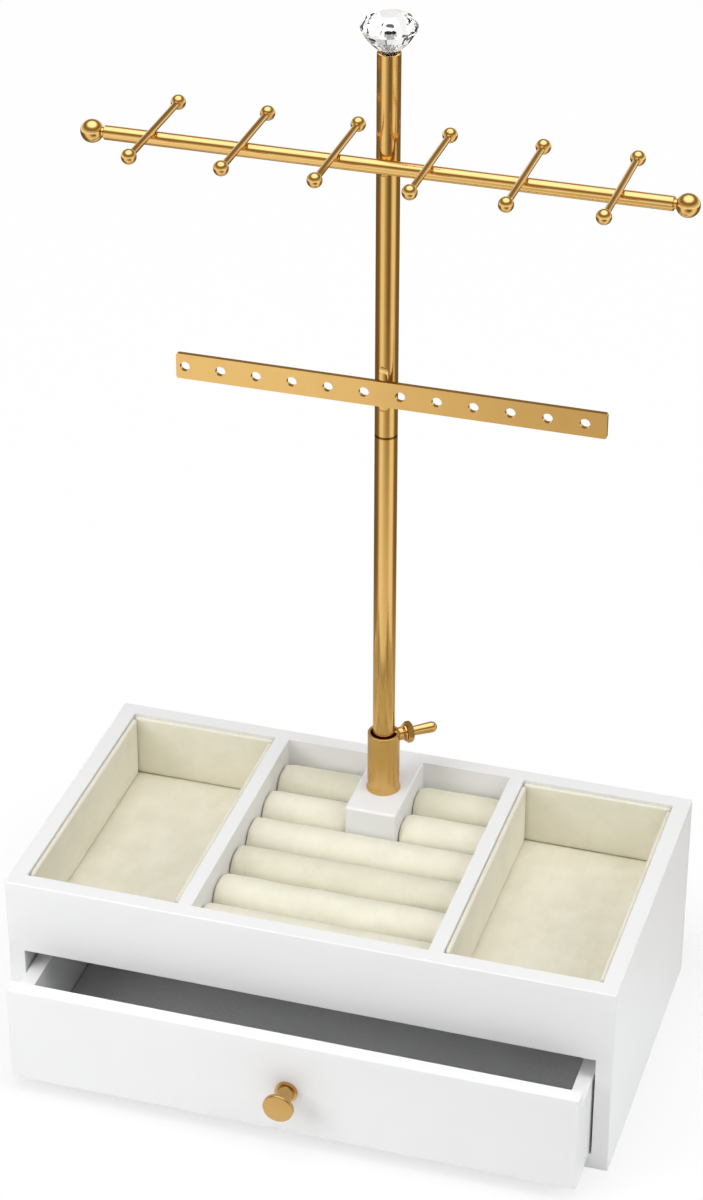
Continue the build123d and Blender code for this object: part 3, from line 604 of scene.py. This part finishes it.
def floor_material():
    """White floor with a soft shadow; mirrors see a painted reflection of bright and dark sides, glass
    painted dark slits.
    """
    material = bpy.data.materials.new("floor")
    material.use_nodes = True
    tree = material.node_tree
    tree.nodes.clear()
    seen = ray_is(tree, "Is Camera Ray", "Is Transmission Ray", "Transmission Depth")
    mirrored = ray_is(tree, "Is Glossy Ray")
    place = add_node(tree, "ShaderNodeTexCoord", output="Object")
    from_pole = add_node(tree, "ShaderNodeVectorMath", {"operation": "SUBTRACT"},
                         [place, (0.0, POLE_Y, 0.0)])
    away = add_node(tree, "ShaderNodeVectorMath", {"operation": "LENGTH"}, [from_pole], "Value")
    near = smooth_step(tree, away, *MIRROR_END)
    gap = smooth_step(tree, away, *GAP_REACH) * near * (1.0 - by_compass(tree, from_pole, GAP_STOPS))
    back = smooth_step(tree, away, *BACK_REACH) * near * (1.0 - by_compass(tree, from_pole, BACK_STOPS))
    ring = (1.0 - gap) * (1.0 - back) * (1.25 - 0.25 * near)
    x = add_node(tree, "ShaderNodeSeparateXYZ", None, [place], "X")
    y = add_node(tree, "ShaderNodeSeparateXYZ", None, [place], "Y")
    beside_x = x.calc("MAXIMUM", x.calc("ABSOLUTE", x) - FOOT_HALF[0], 0.0)
    beside_y = y.calc("MAXIMUM", y.calc("ABSOLUTE", y - FOOT_Y) - FOOT_HALF[1], 0.0)
    beside = (beside_x * beside_x + beside_y * beside_y) ** 0.5
    glow = SHADOW_GLOW + (FLOOR_GLOW - SHADOW_GLOW) * smooth_step(tree, beside, 0.0, SHADOW_REACH)
    matt = add_node(tree, "ShaderNodeBsdfDiffuse", None, {"Color": (0.93, 0.93, 0.93, 1)})
    white = add_node(tree, "ShaderNodeEmission", None, {"Color": glass_level(tree, from_pole)})
    studio = add_node(tree, "ShaderNodeEmission", None, {"Color": studio_tone(tree, ring)})
    shown = add_node(tree, "ShaderNodeMixShader", None, [seen * glow, matt, white])
    # painted reflection: mirror rays see the floor glow in the studio pattern
    mixed = add_node(tree, "ShaderNodeMixShader", None, [mirrored * (1.0 - seen), shown, studio])
    out = tree.nodes.new("ShaderNodeOutputMaterial")
    tree.links.new(mixed.socket, out.inputs["Surface"])
    return material


def make_floor():
    bm = bmesh.new()
    bmesh.ops.create_circle(bm, cap_ends=True, segments=96, radius=FLOOR_RADIUS)
    bmesh.ops.translate(bm, vec=(0, 0, -FLOOR_DROP), verts=bm.verts)
    floor = to_object(bm, "floor", floor_material())


ROOM_LIGHT = 0.27
# how bright the studio is by height above the horizon, for mirrors
SKY_STOPS = ((0.0, 0.95), (0.10, 0.85), (0.36, 0.35), (0.50, 0.22), (0.70, 0.40), (0.88, 1.7))


def make_world():
    """White to the camera, a plain grey room to matt surfaces, a studio to mirrors.

    Glass sees white with the painted dark slits.
    """
    world = bpy.data.worlds.new("studio")
    bpy.context.scene.world = world
    world.use_nodes = True
    tree = world.node_tree
    tree.nodes.clear()
    direction = add_node(tree, "ShaderNodeTexCoord", output="Generated")
    height = add_node(tree, "ShaderNodeSeparateXYZ", None, [direction], "Z")
    level = add_node(tree, "ShaderNodeValToRGB", {"stops": SKY_STOPS}, [height])
    room = add_node(tree, "ShaderNodeBackground", None, {"Color": (1, 1, 1, 1), "Strength": ROOM_LIGHT})
    mirror = add_node(tree, "ShaderNodeBackground", None, {"Color": studio_tone(tree, level)})
    clear = add_node(tree, "ShaderNodeBackground", None, {"Color": glass_level(tree, direction)})
    white = add_node(tree, "ShaderNodeBackground", None, {"Color": (1, 1, 1, 1), "Strength": 1.0})
    lit = add_node(tree, "ShaderNodeMixShader", None, [ray_is(tree, "Is Glossy Ray"), room, mirror])
    through = ray_is(tree, "Is Transmission Ray", "Transmission Depth")
    lit = add_node(tree, "ShaderNodeMixShader", None, [through, lit, clear])
    mixed = add_node(tree, "ShaderNodeMixShader", None, [ray_is(tree, "Is Camera Ray"), lit, white])
    out = tree.nodes.new("ShaderNodeOutputWorld")
    tree.links.new(mixed.socket, out.inputs["Surface"])


BOX_MIDDLE = (0, 0, 0.1)
# name, place, width, height and power in watts
SOFTBOXES = (
    ("key", (-0.6, -0.75, 0.55), 0.5, 0.5, 3.6),
    ("side", (1.2, -0.3, 1.1), 1.0, 0.9, 8.5),
    ("top", (0.0, 0.1, 2.0), 1.6, 1.4, 10.5),
    ("top_front", (-0.1, -0.7, 1.9), 1.6, 1.2, 10),
)


def softbox(name, place, target, width, height, power):
    """A soft lamp at a place, turned to a target."""
    lamp = bpy.data.lights.new(name, "AREA")
    lamp.shape = "RECTANGLE"
    lamp.size = width
    lamp.size_y = height
    lamp.energy = power
    obj = bpy.data.objects.new(name, lamp)
    bpy.context.scene.collection.objects.link(obj)
    obj.location = place
    obj.rotation_euler = (Vector(target) - Vector(place)).to_track_quat("-Z", "Y").to_euler()
    obj.visible_camera = False
    obj.visible_glossy = False


def make_lights():
    for name, place, width, height, power in SOFTBOXES:
        softbox(name, place, BOX_MIDDLE, width, height, power)


def make_camera():
    """The photograph's own viewpoint."""
    a, e, r = (radians(v) for v in (CAMERA_AZIMUTH, CAMERA_ELEVATION, CAMERA_ROLL))
    back = Vector((sin(a) * cos(e), -cos(a) * cos(e), sin(e)))
    level = Vector((cos(a), sin(a), 0))
    rise = back.cross(level)
    right = cos(r) * level + sin(r) * rise
    up = cos(r) * rise - sin(r) * level
    lens = bpy.data.cameras.new("camera")
    lens.sensor_width = SENSOR
    lens.lens = SENSOR * FOCAL_PIXELS / PICTURE_HEIGHT
    camera = bpy.data.objects.new("camera", lens)
    bpy.context.scene.collection.objects.link(camera)
    turn = Matrix((right, up, back)).transposed().to_4x4()
    camera.matrix_world = Matrix.Translation(CAMERA_PLACE) @ turn
    bpy.context.scene.camera = camera


def main():
    bpy.context.scene.view_settings.view_transform = "Standard"
    finishes = [painted_board(), satin_gold("bright_gold", 0.12, 0.165),
                satin_gold("matt_gold", 0.27, 0.33),
                # the knob's gold with painted shade, darker all over
                satin_gold("knob_gold", 0.22, 0.3, painted_shade=0.5),
                cut_crystal(), zinc_steel(), beech()]
    dress_solids({finish.name: finish for finish in finishes})
    make_soft_pieces(velvet("wall_velvet", (0.79, 0.765, 0.64), (0.84, 0.81, 0.69)),
                     velvet("pad_velvet", (0.77, 0.735, 0.605), (0.83, 0.795, 0.67)),
                     velvet("roll_velvet", (0.775, 0.75, 0.61), (0.83, 0.805, 0.67)),
                     velvet("roll_velvet_dim", (0.70, 0.675, 0.53), (0.75, 0.725, 0.58)),
                     grey_felt())
    make_floor()
    make_world()
    make_lights()
    make_camera()


main()
